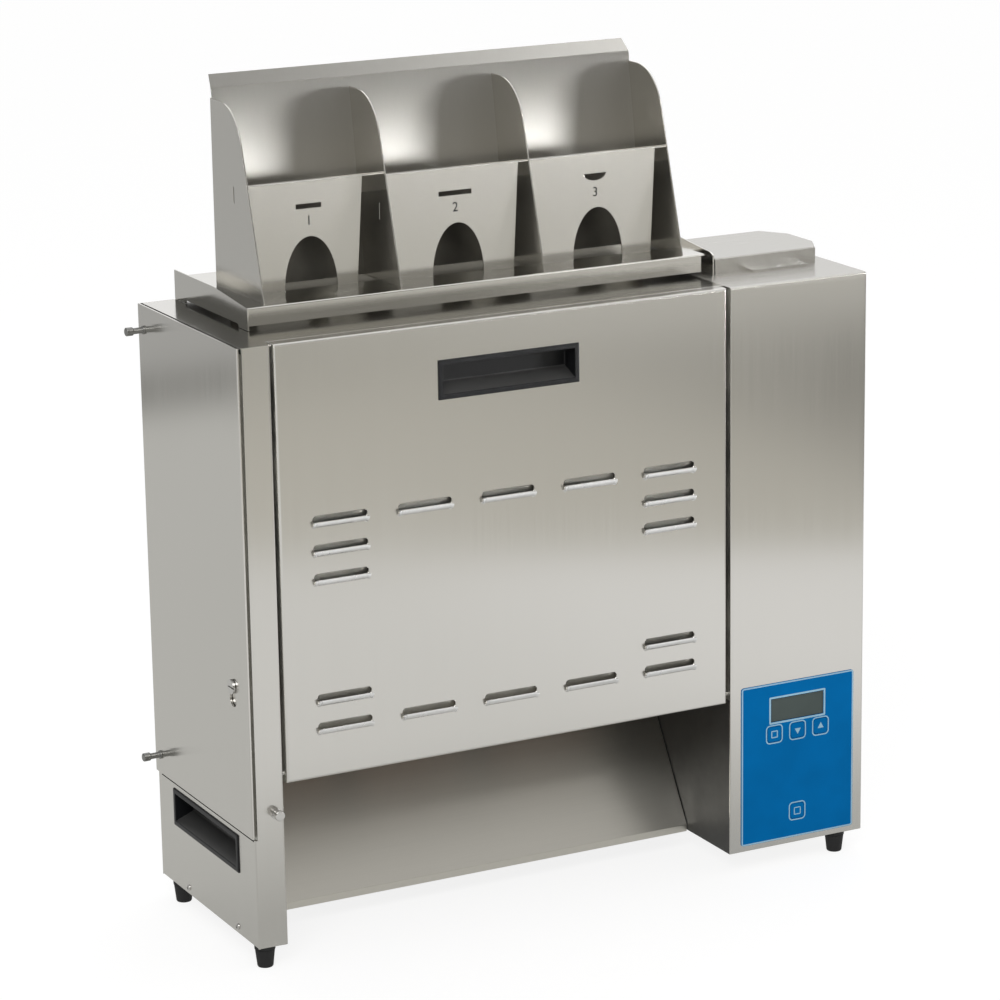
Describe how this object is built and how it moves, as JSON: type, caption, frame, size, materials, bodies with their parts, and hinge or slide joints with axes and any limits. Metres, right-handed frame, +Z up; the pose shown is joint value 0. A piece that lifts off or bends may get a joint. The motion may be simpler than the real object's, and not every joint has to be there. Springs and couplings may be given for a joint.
{
  "type": "conveyor toaster",
  "caption": "Upright conveyor toaster: a lane feeder on top, a belt and heated plate inside, a discharge ramp in the base and a control housing at the side.",
  "frame": {"origin": "middle of the whole object's footprint, on the surface that the feet stand on", "axes": "+Z up, +X to the right as seen from the front, +Y from the front panel to the back"},
  "size_m": [0.586, 0.2116, 0.6956],
  "materials": {
    "cabinet_steel": "brushed",
    "feeder_steel": "polished",
    "ramp_steel": "brushed",
    "inner_steel": "mill",
    "fastener_steel": "turned",
    "pull_plastic": "satin",
    "pin_plastic": "satin",
    "catch_plastic": "matte",
    "foot_rubber": "matte",
    "roller_aluminium": "turned",
    "gear_brass": "machined",
    "belt_silicone": "matte",
    "motor_paint": "satin",
    "platen_aluminium": "cast",
    "heater_sheath": "heat tinted",
    "release_cloth": "coated",
    "mineral_board": "fibrous",
    "overlay_blue": "satin",
    "display_window": "gloss",
    "board_green": "satin",
    "fan_plastic": "satin",
    "transformer_metal": "satin",
    "terminal_plastic": "matte",
    "relay_plastic": "gloss"
  },
  "bodies": {
    "cabinet": {"left_frame": "cabinet_steel", "top_deck": "cabinet_steel", "rear_panel": "cabinet_steel", "housing_shell": "cabinet_steel", "housing_back": "cabinet_steel", "vent_hood": "cabinet_steel", "inner_plate": "inner_steel", "base_channel": "inner_steel", "housing_wall": "inner_steel", "housing_floor": "inner_steel", "ramp_ledges": "inner_steel", "belt_support": "inner_steel", "heat_shield": "inner_steel", "motor_bracket": "inner_steel", "cover_screw": "fastener_steel", "foot_screws": "fastener_steel", "cabinet_screws": "fastener_steel", "post_stud": "fastener_steel", "panel_pins": "fastener_steel", "thermocouple": "fastener_steel", "fan_guard": "fastener_steel", "plate_posts": "fastener_steel", "side_pull": "pull_plastic", "panel_catches": "catch_plastic", "feet": "foot_rubber", "shaft_bushes": "gear_brass", "belts": "belt_silicone", "gearmotor": "motor_paint", "platen": "platen_aluminium", "heating_rods": "heater_sheath", "release_sheet": "release_cloth", "insulation": "mineral_board", "control_overlay": "overlay_blue", "display": "display_window", "control_board": "board_green", "fan_frame": "fan_plastic", "power_inlet": "fan_plastic", "transformer": "transformer_metal", "terminal_block": "terminal_plastic", "relays": "relay_plastic"},
    "side_cover": {"side_cover": "cabinet_steel", "cover_pins": "pin_plastic"},
    "front_panel": {"front_panel": "cabinet_steel", "front_pull": "pull_plastic"},
    "ramp": {"ramp": "ramp_steel"},
    "feeder": {"feeder_tray": "feeder_steel", "dividers": "feeder_steel", "lane_plates": "feeder_steel", "back_plate": "feeder_steel"},
    "drive": {"drive_shaft": "fastener_steel", "drive_rollers": "roller_aluminium", "drive_gear": "gear_brass"},
    "idler": {"idler_shaft": "fastener_steel", "idler_rollers": "roller_aluminium"},
    "pinion": {"motor_pinion": "fastener_steel"},
    "fan_rotor": {"fan_rotor": "fan_plastic"},
    "key_menu": {"key_menu": "overlay_blue"},
    "key_down": {"key_down": "overlay_blue"},
    "key_up": {"key_up": "overlay_blue"},
    "key_power": {"key_power": "overlay_blue"}
  },
  "joints": [
    {"name": "front_panel_tip", "type": "hinge", "parent": "cabinet", "child": "front_panel", "pos_m": [-0.04415, -0.09075, 0.16], "axis": [1, 0, 0], "range_deg": [0, 30]},
    {"name": "side_cover_lift", "type": "slide", "parent": "cabinet", "child": "side_cover", "axis": [0, 0, 1], "range_m": [0, 0.01]},
    {"name": "feeder_lift", "type": "slide", "parent": "cabinet", "child": "feeder", "axis": [0, 0, 1], "range_m": [0, 0.06]},
    {"name": "ramp_slide", "type": "slide", "parent": "cabinet", "child": "ramp", "axis": [0, -1, 0], "range_m": [0, 0.06]},
    {"name": "drive_spin", "type": "hinge", "parent": "cabinet", "child": "drive", "pos_m": [-0.045, -0.04275, 0.196], "axis": [1, 0, 0], "continuous": true},
    {"name": "idler_spin", "type": "hinge", "parent": "cabinet", "child": "idler", "pos_m": [-0.045, -0.04275, 0.464], "axis": [1, 0, 0], "continuous": true},
    {"name": "pinion_spin", "type": "hinge", "parent": "cabinet", "child": "pinion", "pos_m": [0.173, -0.04275, 0.241], "axis": [1, 0, 0], "continuous": true},
    {"name": "fan_spin", "type": "hinge", "parent": "cabinet", "child": "fan_rotor", "pos_m": [0.227, 0.08725, 0.403], "axis": [0, 1, 0], "continuous": true},
    {"name": "key_menu_press", "type": "slide", "parent": "cabinet", "child": "key_menu", "axis": [0, 1, 0], "range_m": [0, 0.0005], "stiffness_N_per_m": 800},
    {"name": "key_down_press", "type": "slide", "parent": "cabinet", "child": "key_down", "axis": [0, 1, 0], "range_m": [0, 0.0005], "stiffness_N_per_m": 800},
    {"name": "key_up_press", "type": "slide", "parent": "cabinet", "child": "key_up", "axis": [0, 1, 0], "range_m": [0, 0.0005], "stiffness_N_per_m": 800},
    {"name": "key_power_press", "type": "slide", "parent": "cabinet", "child": "key_power", "axis": [0, 1, 0], "range_m": [0, 0.0005], "stiffness_N_per_m": 800}
  ],
  "couplings": [
    {"joint": "idler_spin", "follows": "drive_spin", "ratio": 1},
    {"joint": "pinion_spin", "follows": "drive_spin", "ratio": -2}
  ]
}
